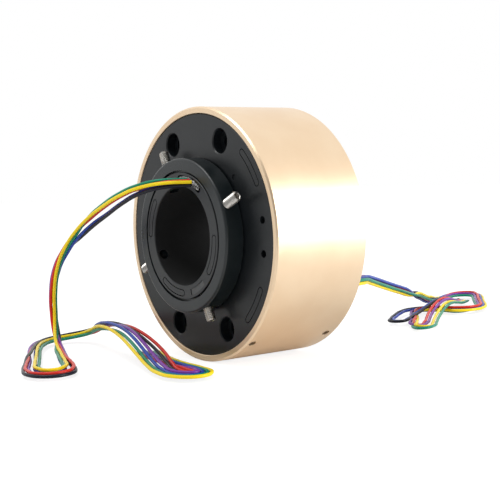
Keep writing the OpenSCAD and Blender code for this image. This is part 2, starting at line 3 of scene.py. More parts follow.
import bpy
import bmesh
from mathutils import Matrix, Vector, noise
from mathutils.kdtree import KDTree


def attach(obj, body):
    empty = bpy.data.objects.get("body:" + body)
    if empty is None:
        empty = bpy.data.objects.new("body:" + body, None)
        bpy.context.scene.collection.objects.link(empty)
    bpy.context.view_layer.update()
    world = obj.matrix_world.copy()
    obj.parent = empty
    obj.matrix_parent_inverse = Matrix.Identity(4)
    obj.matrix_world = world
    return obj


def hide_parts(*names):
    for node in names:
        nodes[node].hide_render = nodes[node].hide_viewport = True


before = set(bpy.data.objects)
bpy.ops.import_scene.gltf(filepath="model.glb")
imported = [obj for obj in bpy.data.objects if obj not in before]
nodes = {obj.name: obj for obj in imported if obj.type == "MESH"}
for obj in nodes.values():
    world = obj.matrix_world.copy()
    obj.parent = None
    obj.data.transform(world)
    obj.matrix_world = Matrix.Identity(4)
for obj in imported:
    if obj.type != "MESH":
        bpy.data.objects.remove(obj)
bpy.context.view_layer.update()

MM = 0.001
scene = bpy.context.scene


# ---------------------------------------------------------------- camera

FOCAL_MM = 78.33
SENSOR_MM = 36
CAMERA_PLACE = (0.35016, -0.23722, 0.02096)
CAMERA_RIGHT = Vector((0.60068, 0.79869, -0.03569))
CAMERA_UP = Vector((-0.03071, 0.06765, 0.99724))


def place_camera():
    lens = bpy.data.cameras.new("camera")
    lens.lens = FOCAL_MM
    lens.sensor_width = SENSOR_MM
    lens.clip_start = 0.01
    lens.clip_end = 20
    camera = bpy.data.objects.new("camera", lens)
    back = CAMERA_RIGHT.cross(CAMERA_UP).normalized()
    turn = Matrix((CAMERA_RIGHT, CAMERA_UP, back)).transposed().to_4x4()
    camera.matrix_world = Matrix.Translation(CAMERA_PLACE) @ turn
    scene.collection.objects.link(camera)
    scene.camera = camera
    bpy.context.scene.camera = camera


place_camera()

FLOOR = -0.0495                     # the barrel's lowest line
VIEWER = Vector((0.8, -0.6, 0.0))   # level way from the object to the camera


# ---------------------------------------------------------------- node helpers

def add(tree, kind, links=None, **settings):
    """Adds a shader node, with its settings and the values or sockets of its inputs."""
    made = tree.nodes.new("ShaderNode" + kind)
    for name, value in settings.items():
        setattr(made, name, value)
    for name, value in (links or {}).items():
        socket = made.inputs[name]
        if isinstance(value, bpy.types.NodeSocket):
            tree.links.new(value, socket)
        else:
            socket.default_value = value
    return made


def calc(tree, operation, a, b=0.0, clamp=False):
    return add(tree, "Math", {0: a, 1: b}, operation=operation, use_clamp=clamp).outputs[0]


def ramp(tree, value, stops):
    """Colour ramp: stops are (place, colour or grey) pairs."""
    made = add(tree, "ValToRGB", {"Fac": value})
    line = made.color_ramp
    while len(line.elements) < len(stops):
        line.elements.new(0.5)
    for element, (place, colour) in zip(line.elements, stops):
        element.position = place
        if not isinstance(colour, (tuple, list)):
            colour = (colour, colour, colour)
        element.color = (*colour, 1)
    return made.outputs["Color"]


def new_group(name, inputs, outputs):
    """Starts a shader node group with named inputs and outputs."""
    group = bpy.data.node_groups.new(name, "ShaderNodeTree")
    for label, value in inputs:
        socket = group.interface.new_socket(label, in_out="INPUT", socket_type="NodeSocketFloat")
        socket.default_value = value
    for label in outputs:
        group.interface.new_socket(label, in_out="OUTPUT", socket_type="NodeSocketFloat")
    entry = group.nodes.new("NodeGroupInput")
    leave = group.nodes.new("NodeGroupOutput")
    return group, entry, leave


def place_group(tree, group, **values):
    made = tree.nodes.new("ShaderNodeGroup")
    made.node_tree = group
    for name, value in values.items():
        socket = made.inputs[name.replace("_", " ").capitalize()]
        if isinstance(value, bpy.types.NodeSocket):
            tree.links.new(value, socket)
        else:
            socket.default_value = value
    return made


def make_fine_grain():
    """Fine even grain of a blasted or moulded skin, with a slow change of tone."""
    group, entry, leave = new_group(
        "fine_grain", [("Scale", 2500), ("Tone scale", 60)], ["Height", "Tone"])
    place = add(group, "TexCoord").outputs["Object"]
    grain = add(group, "TexNoise", {"Vector": place, "Scale": entry.outputs["Scale"],
                                    "Detail": 3, "Roughness": 0.6})
    tone = add(group, "TexNoise", {"Vector": place, "Scale": entry.outputs["Tone scale"],
                                   "Detail": 4, "Roughness": 0.55})
    group.links.new(grain.outputs["Fac"], leave.inputs["Height"])
    group.links.new(tone.outputs["Fac"], leave.inputs["Tone"])
    return group


def make_turning_lines():
    """Lines that a lathe leaves round the bore axis, on faces and on barrels."""
    group, entry, leave = new_group("turning_lines", [("Pitch", 3000)], ["Height"])
    place = add(group, "SeparateXYZ", {0: add(group, "TexCoord").outputs["Object"]})
    x, y, z = place.outputs
    radius = calc(group, "SQRT", calc(group, "ADD", calc(group, "MULTIPLY", x, x),
                                      calc(group, "MULTIPLY", z, z)))
    along = add(group, "CombineXYZ", {"X": radius, "Y": y, "Z": 0.0})
    lines = add(group, "TexNoise", {"Vector": along.outputs[0],
                                    "Scale": entry.outputs["Pitch"], "Detail": 4})
    group.links.new(lines.outputs["Fac"], leave.inputs["Height"])
    return group


def make_smudges():
    """Patchy handling marks: a value from Low to High."""
    group, entry, leave = new_group(
        "smudges", [("Scale", 40), ("Low", 0.3), ("High", 0.5)], ["Value"])
    place = add(group, "TexCoord").outputs["Object"]
    cloud = add(group, "TexNoise", {"Vector": place, "Scale": entry.outputs["Scale"],
                                    "Detail": 5, "Roughness": 0.6, "Distortion": 0.6})
    spread = add(group, "MapRange", {"Value": cloud.outputs["Fac"], "From Min": 0.3,
                                     "From Max": 0.7, "To Min": entry.outputs["Low"],
                                     "To Max": entry.outputs["High"]})
    group.links.new(spread.outputs["Result"], leave.inputs["Value"])
    return group


def make_edge_wear():
    """Mask of sharp edges, broken up by noise."""
    group, entry, leave = new_group(
        "edge_wear", [("Width", 0.0003), ("Amount", 1)], ["Mask"])
    rounded = add(group, "Bevel", {"Radius": entry.outputs["Width"]}, samples=6)
    plain = add(group, "NewGeometry").outputs["Normal"]
    match = add(group, "VectorMath", {0: rounded.outputs["Normal"], 1: plain},
                operation="DOT_PRODUCT").outputs["Value"]
    edge = calc(group, "MULTIPLY", calc(group, "SUBTRACT", 1.0, match), 6.0, clamp=True)
    place = add(group, "TexCoord").outputs["Object"]
    breaks = add(group, "TexNoise", {"Vector": place, "Scale": 700, "Detail": 3})
    gate = add(group, "MapRange", {"Value": breaks.outputs["Fac"], "From Min": 0.35,
                                   "From Max": 0.6})
    mask = calc(group, "MULTIPLY", calc(group, "MULTIPLY", edge, gate.outputs["Result"]),
                entry.outputs["Amount"], clamp=True)
    group.links.new(mask, leave.inputs["Mask"])
    return group


fine_grain = make_fine_grain()
turning_lines = make_turning_lines()
smudges = make_smudges()
edge_wear = make_edge_wear()


def blank_material(name):
    """A material with an empty tree but its shader and output."""
    finish = bpy.data.materials.new(name)
    finish.use_nodes = True
    tree = finish.node_tree
    tree.nodes.clear()
    shader = add(tree, "BsdfPrincipled")
    add(tree, "OutputMaterial", {"Surface": shader.outputs[0]})
    return finish, tree, shader


def set_shader(tree, shader, **values):
    for name, value in values.items():
        socket = shader.inputs[name.replace("_", " ").title().replace("Ior", "IOR")]
        if isinstance(value, bpy.types.NodeSocket):
            tree.links.new(value, socket)
        else:
            socket.default_value = value


def bump(tree, height, strength, distance, under=None):
    links = {"Height": height, "Strength": strength, "Distance": distance}
    if under is not None:
        links["Normal"] = under
    return add(tree, "Bump", links).outputs["Normal"]


def blend_colour(tree, mask, a, b):
    made = add(tree, "Mix", data_type="RGBA")
    for name, value in (("Factor", mask), ("A", a), ("B", b)):
        socket = [s for s in made.inputs if s.name == name and s.enabled][0]
        if isinstance(value, bpy.types.NodeSocket):
            tree.links.new(value, socket)
        else:
            socket.default_value = value if name == "Factor" else (*value, 1)
    return [s for s in made.outputs if s.enabled][0]


# ---------------------------------------------------------------- finishes

def bore_shade_mask(tree, radius):
    """1 inside a radius of the bore axis, 0 outside: where painted shade goes in the bore."""
    place = add(tree, "SeparateXYZ", {0: add(tree, "TexCoord").outputs["Object"]})
    x, _, z = place.outputs
    reach = calc(tree, "SQRT", calc(tree, "ADD", calc(tree, "MULTIPLY", x, x),
                                    calc(tree, "MULTIPLY", z, z)))
    return calc(tree, "LESS_THAN", reach, radius)


def satin_finish(name, dark, light, worn, low, high, metal=0.0, grain=2500, depth=0.00002,
                 lines=0.0, wear=0.5, wear_width=0.0003, coat=0.0, specular=0.5, bore=None):
    """Painted, moulded or anodised skin: grain, tone, smudges, turning lines and worn edges; with
    bore given, painted shade inside that radius.
    """
    finish, tree, shader = blank_material(name)
    skin = place_group(tree, fine_grain, scale=grain, tone_scale=60)
    base = ramp(tree, skin.outputs["Tone"], [(0.35, dark), (0.65, light)])
    edges = place_group(tree, edge_wear, width=wear_width, amount=wear)
    colour = blend_colour(tree, edges.outputs["Mask"], base, worn)
    marks = place_group(tree, smudges, scale=45, low=low, high=high)
    rough = marks.outputs["Value"]
    if bore:
        # Painted shade: inside the bore radius the colour goes near-black and rougher, standing in
        # for the shade deep in the bore.
        inside = bore_shade_mask(tree, bore)
        colour = blend_colour(tree, inside, colour, (0.0008, 0.0009, 0.001))
        rough = calc(tree, "ADD", rough, calc(tree, "MULTIPLY", inside, 0.5), clamp=True)
    normal = bump(tree, skin.outputs["Height"], 0.35, depth)
    if lines:
        turned = place_group(tree, turning_lines, pitch=3500)
        normal = bump(tree, turned.outputs["Height"], lines, depth, normal)
    set_shader(tree, shader, base_color=colour, roughness=rough,
               metallic=metal, coat_weight=coat, normal=normal, specular_ior_level=specular)
    return finish


finishes = {
    "gold_anodised": satin_finish(
        "gold_anodised", (0.85, 0.645, 0.435), (0.88, 0.685, 0.475), (0.97, 0.90, 0.78),
        0.30, 0.38, metal=0.85, grain=5000, depth=0.00001, lines=0.25, wear=0.6),
    "black_moulded": satin_finish(
        "black_moulded", (0.0045, 0.0065, 0.0078), (0.008, 0.010, 0.012), (0.05, 0.054, 0.058),
        0.27, 0.40, grain=3000, depth=0.00003, wear=0.35, specular=0.4),
    # black_nylon gets painted shade in its bore, out to 19.12 mm from the axis.
    "black_nylon": satin_finish(
        "black_nylon", (0.004, 0.0065, 0.0078), (0.007, 0.0095, 0.0115), (0.05, 0.054, 0.058),
        0.28, 0.42, grain=2600, depth=0.00003, wear=0.4, bore=0.01912),
    "black_anodised": satin_finish(
        "black_anodised", (0.0045, 0.0085, 0.010), (0.008, 0.0125, 0.0145), (0.10, 0.107, 0.11),
        0.25, 0.38, grain=3000, depth=0.00002, lines=0.2, wear=0.5),
    "screw_steel": satin_finish(
        "screw_steel", (0.52, 0.50, 0.47), (0.66, 0.64, 0.60), (0.85, 0.83, 0.80),
        0.22, 0.38, metal=1.0, grain=3000, wear=0.5, wear_width=0.00015),
    "black_steel": satin_finish(
        "black_steel", (0.02, 0.02, 0.02), (0.035, 0.033, 0.03), (0.2, 0.19, 0.18),
        0.3, 0.45, metal=0.6, grain=3000, wear=0.5),
    "bearing_steel": satin_finish(
        "bearing_steel", (0.50, 0.51, 0.52), (0.58, 0.59, 0.60), (0.8, 0.8, 0.8),
        0.15, 0.25, metal=1.0, grain=4000, depth=0.000006, lines=0.2, wear=0.3),
    "cage_plastic": satin_finish(
        "cage_plastic", (0.30, 0.20, 0.09), (0.36, 0.25, 0.12), (0.5, 0.4, 0.25),
        0.4, 0.55, grain=2500, wear=0.2),
    "ring_brass": satin_finish(
        "ring_brass", (0.78, 0.55, 0.20), (0.85, 0.62, 0.26), (0.95, 0.80, 0.45),
        0.18, 0.30, metal=1.0, grain=4000, depth=0.000006, lines=0.3, wear=0.3),
    "insulator": satin_finish(
        "insulator", (0.16, 0.11, 0.05), (0.20, 0.14, 0.07), (0.32, 0.26, 0.18),
        0.35, 0.5, grain=2500, wear=0.3),
    "circuit_board": satin_finish(
        "circuit_board", (0.01, 0.12, 0.04), (0.02, 0.16, 0.06), (0.35, 0.34, 0.2),
        0.25, 0.4, grain=1500, coat=0.4, wear=0.5),
    "wire_sleeve": satin_finish(
        "wire_sleeve", (0.30, 0.04, 0.02), (0.36, 0.06, 0.03), (0.4, 0.1, 0.08),
        0.3, 0.45, grain=2500, wear=0.0),
    "dark_resin": satin_finish(
        "dark_resin", (0.045, 0.048, 0.050), (0.075, 0.078, 0.080), (0.10, 0.10, 0.10),
        0.35, 0.6, grain=1200, depth=0.0001, wear=0.2),
    "silicone": satin_finish(
        "silicone", (0.03, 0.03, 0.03), (0.08, 0.08, 0.08), (0.3, 0.3, 0.3),
        0.08, 0.2, grain=900, depth=0.0002, coat=1.0, wear=0.2),
}

# Each CAD node takes the finish of its own material
for name, piece in nodes.items():
    used = [s.material.name.split(".")[0] for s in piece.material_slots if s.material]
    kind = used[0] if used else "black_moulded"
    if kind in finishes:
        for place in piece.material_slots:
            place.material = finishes[kind]


def finish_piece(bm, name, finish, sharp=40):
    mesh = bpy.data.meshes.new(name)
    bm.to_mesh(mesh)
    bm.free()
    mesh.polygons.foreach_set("use_smooth", [True] * len(mesh.polygons))
    mesh.set_sharp_from_angle(angle=math.radians(sharp))
    mesh.materials.append(finishes[finish] if isinstance(finish, str) else finish)
    piece = bpy.data.objects.new(name, mesh)
    scene.collection.objects.link(piece)
    return piece


# ---------------------------------------------------------------- leads

lead_d = 1.35                       # over the sleeve, in mm
lead_r = lead_d / 2
lead_floor = FLOOR / MM + lead_r    # height of a lead's middle on the floor
line_step = 2.0                     # from one worked point of a strand to the next
line_parts = 24                     # worked points between two stations of a route
shift_reach = 14                    # points each way over which a shift is evened out
level_turn = 12                     # station from which shifts are level with the floor
bends_up = 8                        # station up to which rise is always upward
knot_every = 6                      # worked points from one knot of the curve to the next
touching = 1.02                     # gap between two leads' middles, in diameters
lying_height = 6                    # below this a pushed lead climbs over the other
lying_climb = 0.35                  # how far it climbs, as a share of the push
push_share = 0.8                    # share of a push taken in one round
even_share = 0.45                   # pull to the middle of its neighbours in one round
home_share = 0.015                  # pull back to its own line in one round

# Middle of the front bundle, from the lead slot to the bare ends: point by point, in mm
rotor_route = [
    (8, -8.6, 20.6), (8, -14, 20.6), (4, -19, 20.6), (-7, -22.5, 18.8), (-18.5, -24, 15.7),
    (-31, -24.5, 11.3), (-43, -25, 6.4), (-54.5, -25.5, -0.6), (-65, -26, -8), (-72.5, -26, -17),
    (-75.5, -26, -28), (-74.5, -26, -38.5), (-69, -28, -45.6), (-60, -32, -47.4),
    (-46, -38, -47.4), (-32, -44, -47.4), (-18.5, -49, -47.4), (-10, -53.5, -47.4),
    (-7.5, -60.5, -47.4), (-13.5, -65, -47.4), (-22, -62, -47.4), (-34.5, -55.5, -47.4),
    (-48, -48.5, -47.4), (-62, -41.5, -47.4), (-76, -33.5, -47.4), (-86, -24, -47.4),
    (-89, -14, -47.4), (-84, -7, -46.9), (-74, -7.5, -43.8), (-60.5, -12, -40.2),
    (-47, -15.5, -38.4), (-33, -17.5, -38.3), (-20, -20.5, -40.1), (-7, -23.5, -43.2),
    (6, -27, -46.3), (18, -30.5, -47.4), (29, -32, -47.4), (36, -28, -47.4),
    (35.5, -20.5, -47.4), (26.5, -17.5, -47.4), (14, -17, -47.4), (1, -14.5, -47.4),
    (-12, -10.5, -47.4), (-24, -6, -47.4)]
# Middle of the bundle behind, as far as its pairs stay together
stator_route = [
    (37.5, 43.2, -20.6), (37.5, 49.5, -20.6), (32.5, 56.5, -20.3), (23.5, 66, -21.1),
    (13, 81, -24), (3.5, 96, -27.3), (-6.5, 111.5, -30.7), (-16, 127, -34),
    (-26, 142.5, -37.7), (-35.5, 157.5, -41.2), (-44.5, 171.5, -44.7), (-52.5, 185.5, -47.2),
    (-59.5, 200, -47.4), (-64.5, 212, -47.4), (-64, 220.5, -47.4), (-56.5, 222, -47.4),
    (-47, 213, -47.4), (-36, 201, -47.4), (-25.5, 190.5, -47.4), (-15.5, 180, -47.4)]


def between(points, place):
    """The point at a place along a smooth line through points, in station numbers."""
    last = len(points) - 1
    place = min(max(place, 0), last)
    i = min(int(place), last - 1)
    t = place - i
    p0, p1, p2, p3 = (Vector(points[min(max(j, 0), last)]) for j in (i - 1, i, i + 1, i + 2))
    return 0.5 * (2 * p1 + (p2 - p0) * t + (2 * p0 - 5 * p1 + 4 * p2 - p3) * t * t
                  + (3 * p1 - p0 - 3 * p2 + p3) * t ** 3)


def ease(table, place):
    """The (rise, near) offset at a place, from (station, rise, near) rows."""
    if place <= table[0][0]:
        return table[0][1], table[0][2]
    for (a, rise_a, near_a), (b, rise_b, near_b) in zip(table, table[1:]):
        if place <= b:
            t = (place - a) / (b - a)
            t = t * t * (3 - 2 * t)
            return rise_a + (rise_b - rise_a) * t, near_a + (near_b - near_a) * t
    return table[-1][1], table[-1][2]


def strand_line(route, table):
    """A strand's line beside the bundle's: rise is up or to the outside of the bend, near is
    towards the viewer, and from level_turn on they are up and to the right of the way."""
    count = (len(route) - 1) * line_parts + 1
    shifts = [ease(table, k / line_parts) for k in range(count)]
    for _ in range(2):
        soft = []
        for k in range(count):
            span = shifts[max(k - shift_reach, 0):k + shift_reach + 1]
            keep = min(k / shift_reach, 1.0)
            soft.append(tuple((sum(v[c] for v in span) / len(span)) * keep
                              + shifts[0][c] * (1 - keep) for c in (0, 1)))
        shifts = soft
    line = []
    for k in range(count):
        place = k / line_parts
        here = between(route, place)
        way = (between(route, place + 0.05) - between(route, place - 0.05)).normalized()
        rise, near = shifts[k]
        arc_near = (VIEWER - way * VIEWER.dot(way)).normalized()
        arc_rise = way.cross(arc_near)
        level_near = way.cross(Vector((0, 0, 1))).normalized()
        level_rise = level_near.cross(way)
        share = min(max((place - level_turn + 1.0) / 2.0, 0), 1)
        if arc_rise.z < 0 and place < bends_up:
            arc_rise = -arc_rise
        arc = arc_rise * rise + arc_near * near
        level = level_rise * rise + level_near * near
        point = here + arc * (1 - share) + level * share
        point.z = max(point.z, lead_floor)
        line.append(point)
    return even_line(line, line_step)


def even_line(line, step):
    """The same line with points an even step apart."""
    out = [line[0].copy()]
    left = step
    for a, b in zip(line, line[1:]):
        way = b - a
        size = way.length
        while size >= left:
            a = a + way.normalized() * left
            out.append(a.copy())
            size -= left
            way = b - a
            left = step
        left -= size
    return out


def settle(strands, rounds=40):
    """Pushes strands apart where they lie in each other, and keeps them on the floor."""
    home = [[p.copy() for p in s] for s in strands]
    for _ in range(rounds):
        every = [(p, s, i) for s, line in enumerate(strands) for i, p in enumerate(line)]
        tree = KDTree(len(every))
        for n, (p, s, i) in enumerate(every):
            tree.insert(p, n)
        tree.balance()
        push = [[Vector() for p in line] for line in strands]
        for n, (p, s, i) in enumerate(every):
            for q, m, gap in tree.find_range(p, lead_d * touching):
                other, j = every[m][1], every[m][2]
                if m <= n or (other == s and abs(i - j) < 4):
                    continue
                way = (p - q) if gap > 1e-4 else Vector((0, 0, 1))
                away = way.normalized() * (lead_d * touching - gap) * 0.5
                if p.z < lead_floor + lying_height and abs(away.z) < 0.3 * away.length:
                    away.z += lying_climb * away.length * (1 if p.z >= q.z else -1)
                push[s][i] += away
                push[other][j] -= away
        for s, line in enumerate(strands):
            moved = [p + push[s][i] * push_share for i, p in enumerate(line)]
            for i in range(2, len(line) - 1):
                middle = (moved[i - 1] + moved[i + 1]) / 2
                p = moved[i].lerp(middle, even_share).lerp(home[s][i], home_share)
                p.z = max(p.z, lead_floor)
                line[i] = p


sleeve_colours = {
    "green": ((0.000, 0.22, 0.13), (0.004, 0.27, 0.16)),
    "red": ((0.62, 0.020, 0.012), (0.70, 0.03, 0.018)),
    "yellow": ((0.93, 0.68, 0.003), (0.97, 0.74, 0.006)),
    "black": ((0.003, 0.004, 0.012), (0.006, 0.007, 0.018)),
    "blue": ((0.010, 0.045, 0.34), (0.015, 0.06, 0.42)),
    "purple": ((0.18, 0.03, 0.32), (0.22, 0.045, 0.38)),
}
sleeves = {
    colour: satin_finish("sleeve_" + colour, dark, light, light, 0.28, 0.42, grain=1800,
                         depth=0.00001, wear=0.0, specular=0.3)
    for colour, (dark, light) in sleeve_colours.items()}
tinned = satin_finish("tinned_copper", (0.55, 0.54, 0.52), (0.68, 0.67, 0.64),
                      (0.8, 0.8, 0.8), 0.2, 0.35, metal=1.0, grain=4000, wear=0.0)

# Rows of (station, rise, near) for each lead of the front bundle
rotor_fan = {
    "green": [(0, 1.04, -1.14), (1.5, 1.4, -0.6), (3, 1.5, -0.2), (5.5, 1.3, -0.5),
              (7, -0.6, 0.5), (9, -0.8, -0.6), (11, -0.9, -0.4), (14, 0.6, 1.2), (18, 0.2, 2.2),
              (26, 0.2, 1.6), (29.5, -0.8, 1.0), (32, 0.2, 1.1), (34, 0, 1.3), (36, 0, 1.3),
              (38, 0, 0.8), (43, 0, -1.5)],
    "red": [(0, 0.56, 0.21), (1.2, 0.9, 0.5), (2.5, 0.1, -0.1), (5.5, 0.0, 0.0),
            (7.5, 0.9, -0.3), (9, 0.9, 0.7), (11, 1.0, 0.8), (14, 0.5, -1.0), (18, 0.4, -3.2),
            (26, 0.4, -1.6), (29.5, 0.3, -2.4), (31.5, 1.9, -4.2), (33.5, 1.6, -7.6),
            (35.2, 0.4, -5.0), (37, 0, -3.2), (40, 0, -4.0), (43, 0, -8.0)],
    "yellow": [(0, 0.0, 1.52), (1.5, 0.2, 1.3), (3, 0.45, 1.3), (5.5, 0.6, 1.3), (7, 0.9, 0.9),
               (9, -0.5, 1.3), (11, -0.6, 1.2), (14, 1.2, 0.2), (18, 1.0, 0.5), (26, 1.0, 0.6),
               (29.5, 0.6, 1.6), (32, -1.0, 2.4), (34, 0, 2.8), (36, 0, 2.7), (38, 0, 2.2),
               (43, 0, 0.3)],
    "purple": [(0, -0.25, -1.54), (1.5, 0.3, -1.3), (3, 0.6, -1.3), (5.5, 0.5, -1.4),
               (7.5, 0.6, -1.3), (9, 1.8, -0.3), (11, 0.8, -0.6), (14, -0.6, -2.2),
               (18, -0.4, -1.6), (26, 0.6, -2.8), (29.5, 0.9, -1.8), (32, 2.3, -1.6),
               (34, 1.5, -1.9), (36, 0.3, -1.6), (38, 0, -2.0), (43, 0, -6.2)],
    "blue": [(0, -0.70, -0.28), (1.5, -1.0, -0.5), (3, -1.2, -0.6), (5, -3.1, -0.9),
             (7, -1.6, 0.2), (9, -0.4, -1.2), (11, 0.3, -1.2), (14, -0.6, 1.2), (18, -0.4, 1.0),
             (26, 0.3, -0.6), (29.5, 2.0, 0.5), (32, 1.4, -0.3), (34, 0.5, -0.4), (36, 0, -0.2),
             (38, 0, -0.6), (43, 0, -3.0)],
    "black": [(0, -1.22, 0.96), (1.5, -1.0, 0.9), (3, -1.9, 0.7), (5, -3.7, 0.4),
              (6.2, -2.8, 0.4), (7.2, -1.4, -0.7), (9, 0.8, -1.3), (11, -0.4, -1.4),
              (14, -0.6, -0.4), (18, -0.4, -4.6), (26, 1.4, -0.2), (29.5, 1.6, -0.9),
              (32, 1.2, -3.3), (33.5, 0.6, -6.0), (35.2, 0.2, -3.6), (37, 0, -1.8),
              (40, 0, -2.4), (43, 0, -4.6)],
}
# Where the pairs of leads behind part from one another: three folded ends side by side
stator_tails = {
    "first": [
        (-14, 165, -47.4), (-24, 163.5, -47.4), (-34, 161, -47.4), (-38.5, 154, -47.4),
        (-36, 145.5, -47.4), (-30, 136, -47.4), (-22.5, 126, -47.4), (-16, 117, -47.4),
        (-11, 112.5, -47.4), (-7, 115.5, -47.4), (-12, 125, -47.4), (-18.5, 136, -47.4),
        (-23.5, 147, -46.2), (-27, 157.5, -43.4), (-30.5, 168, -42.6), (-35.5, 178, -44.6),
        (-41.5, 188.5, -47.3), (-48, 198, -47.4)],
    "second": [
        (-13, 165, -47.4), (-22, 164, -47.4), (-32, 162.5, -47.4), (-36, 156, -47.4),
        (-32, 148.5, -47.4), (-22, 138.5, -47.4), (-11.5, 128, -47.4), (-2.5, 118, -47.4),
        (2, 112, -47.4), (6, 110.5, -47.4), (7.5, 115, -47.4), (2, 123, -47.4),
        (-6, 132, -47.4), (-14, 142, -46.4), (-20, 153, -43.4), (-25, 164, -42),
        (-31, 176, -44.4), (-37.5, 187, -47.2), (-44, 197, -47.4)],
    "third": [
        (-12.5, 163.5, -47.4), (-22, 161.5, -47.4), (-31, 159, -47.4), (-33, 152.5, -47.4),
        (-27, 144.5, -47.4), (-16, 134, -47.4), (-5, 123, -47.4), (4, 113, -47.4),
        (9.5, 106.5, -47.4), (14.5, 106, -47.4), (15.5, 111.5, -47.4), (9.5, 120, -47.4),
        (1, 129.5, -47.4), (-7, 139.5, -47.2), (-14, 150, -45.4), (-20.5, 161.5, -43.6),
        (-27, 174, -45), (-34, 186, -47.2), (-40.5, 197, -47.4)],
}
stator_pairs = {"blue": "first", "black": "first", "purple": "second", "red": "second",
                "green": "third", "yellow": "third"}
# Rows of (station, rise, near) for each lead of the bundle behind
stator_fan = {
    "blue": [(0, 0.69, 0.4), (1.5, 1.0, 0.4), (4, 0.9, 0.3), (9, 1.0, -0.4), (12, 0.6, -1.2),
             (14, 0.4, -1.9), (18, 0.2, -1.4), (22, 0, -0.75), (29, 0, -0.75), (34, 0.2, -0.8),
             (38, 0, -0.8)],
    "purple": [(0, 0.69, -1.1), (1.5, 0.6, -1.2), (4, 0.2, -1.3), (9, 0.2, -1.2), (12, 0.8, 0.3),
               (14, 0.6, 1.2), (18, 0.6, 0.9), (22, 0, 0.75), (29, 0, 0.75), (34, 0.2, 0.8),
               (39, 0, 0.8)],
    "red": [(0, -0.69, 0.4), (1.5, -0.5, 0.0), (4, -0.6, 0.0), (9, -0.3, 0.2), (12, 1.0, -0.6),
            (14, 1.4, -0.2), (18, 1.3, 0.0), (22, 0.4, -0.75), (29, 0, -0.75), (34, 0.8, -0.7),
            (39, 0, -0.8)],
    "green": [(0, 0.69, 1.7), (1.5, 0.3, 1.5), (4, -0.5, 1.4), (9, -0.6, 1.3), (12, -0.4, 1.9),
              (14, 0, 2.6), (18, 0, 2.3), (22, 0, 0.75), (29, 0, 0.75), (34, 0, 0.8),
              (39, 0, 0.8)],
    "yellow": [(0, -0.69, 1.7), (1.5, -1.0, 1.2), (4, -1.7, 1.0), (9, -1.6, 0.9), (12, -1.0, -1.8),
               (14, 0, -2.9), (18, 0, -2.6), (22, 0.3, -0.75), (29, 0, -0.75), (34, 0.6, -0.8),
               (39, 0, -0.8)],
    "black": [(0, -0.69, -1.1), (1.5, -1.0, -1.1), (4, -1.5, -0.8), (9, -1.2, -1.0),
              (12, -0.4, 0.2), (14, 0, 0.5), (18, 0, 0.2), (22, 0.4, 0.75), (29, 0, 0.75),
              (34, 0.8, 0.8), (38, 0, 0.8)],
}
stator_ways = {colour: stator_route + stator_tails[pair]
               for colour, pair in stator_pairs.items()}
rotor_ways = {colour: rotor_route for colour in rotor_fan}

tip_len = 4.0
tip_r = 0.42
tip_in_sleeve = 0.3
tip_round_from = 0.88


def make_bare_tip(name, end, way):
    """The stripped and tinned end of a lead: six twisted strands, rounded by the solder."""
    bm = bmesh.new()
    around, rows = 30, 24
    side = way.orthogonal().normalized()
    other = way.cross(side)
    rings = []
    for row in range(rows + 1):
        t = row / rows
        close = math.sqrt(max(1 - max((t - tip_round_from) / 0.12, 0) ** 2, 0.0004))
        ring = []
        for k in range(around):
            turn = 2 * math.pi * k / around
            radius = tip_r * (0.86 + 0.14 * abs(math.cos(3 * turn + 5 * t))) * close
            point = end + way * (tip_len * t - tip_in_sleeve)
            point += (side * math.cos(turn) + other * math.sin(turn)) * radius
            ring.append(bm.verts.new(point * MM))
        rings.append(ring)
    for low, high in zip(rings, rings[1:]):
        for k in range(around):
            m = (k + 1) % around
            bm.faces.new((low[k], low[m], high[m], high[k]))
    bm.faces.new(rings[-1])
    bm.faces.new(list(reversed(rings[0])))
    return finish_piece(bm, name, tinned)


def lay_leads(end, ways, fan, body, node):
    """Lays the six leads of one end as curves, with their bare tips."""
    strands = {colour: strand_line(ways[colour], rows) for colour, rows in fan.items()}
    settle(list(strands.values()))
    for colour, line in strands.items():
        curve = bpy.data.curves.new(f"{end}_lead_{colour}", "CURVE")
        curve.dimensions = "3D"
        curve.bevel_depth = lead_r * MM
        curve.bevel_resolution = 3
        curve.resolution_u = 6
        curve.use_fill_caps = True
        kept = line[::knot_every]
        if len(line) % knot_every != 1:
            kept.append(line[-1])
        spline = curve.splines.new("BEZIER")
        spline.bezier_points.add(len(kept) - 1)
        for knot, point in zip(spline.bezier_points, kept):
            knot.co = point * MM
            knot.handle_left_type = knot.handle_right_type = "AUTO"
        piece = bpy.data.objects.new(curve.name, curve)
        scene.collection.objects.link(piece)
        curve.materials.append(sleeves[colour])
        tip = make_bare_tip(f"{end}_tip_{colour}", line[-1], (line[-1] - line[-3]).normalized())
        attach(tip, body)
        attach(piece, body)
        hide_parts(node)


lay_leads("rotor", rotor_ways, rotor_fan, "rotor", "rotor_leads")
lay_leads("stator", stator_ways, stator_fan, "stator", "stator_leads")


# ---------------------------------------------------------------- set screws

screw_turn = 24.2                   # turn of the first screw round the bore, in degrees
screw_y = -5.1                      # place along the bore, in mm as all that follow
screw_len = 10.0
screw_tops = (36.7, 35.6, 35.4, 34.9)   # how far each socket end is from the bore axis
thread_r = 1.95
thread_depth = 0.36
thread_pitch = 0.7
thread_flat = 0.12                  # share of a turn that is flat at root and at crest
cone_len = 0.7
chamfer_len = 0.35
end_step = 0.55
socket_r = 1.05                     # to the hexagon's flats
socket_depth = 2.2


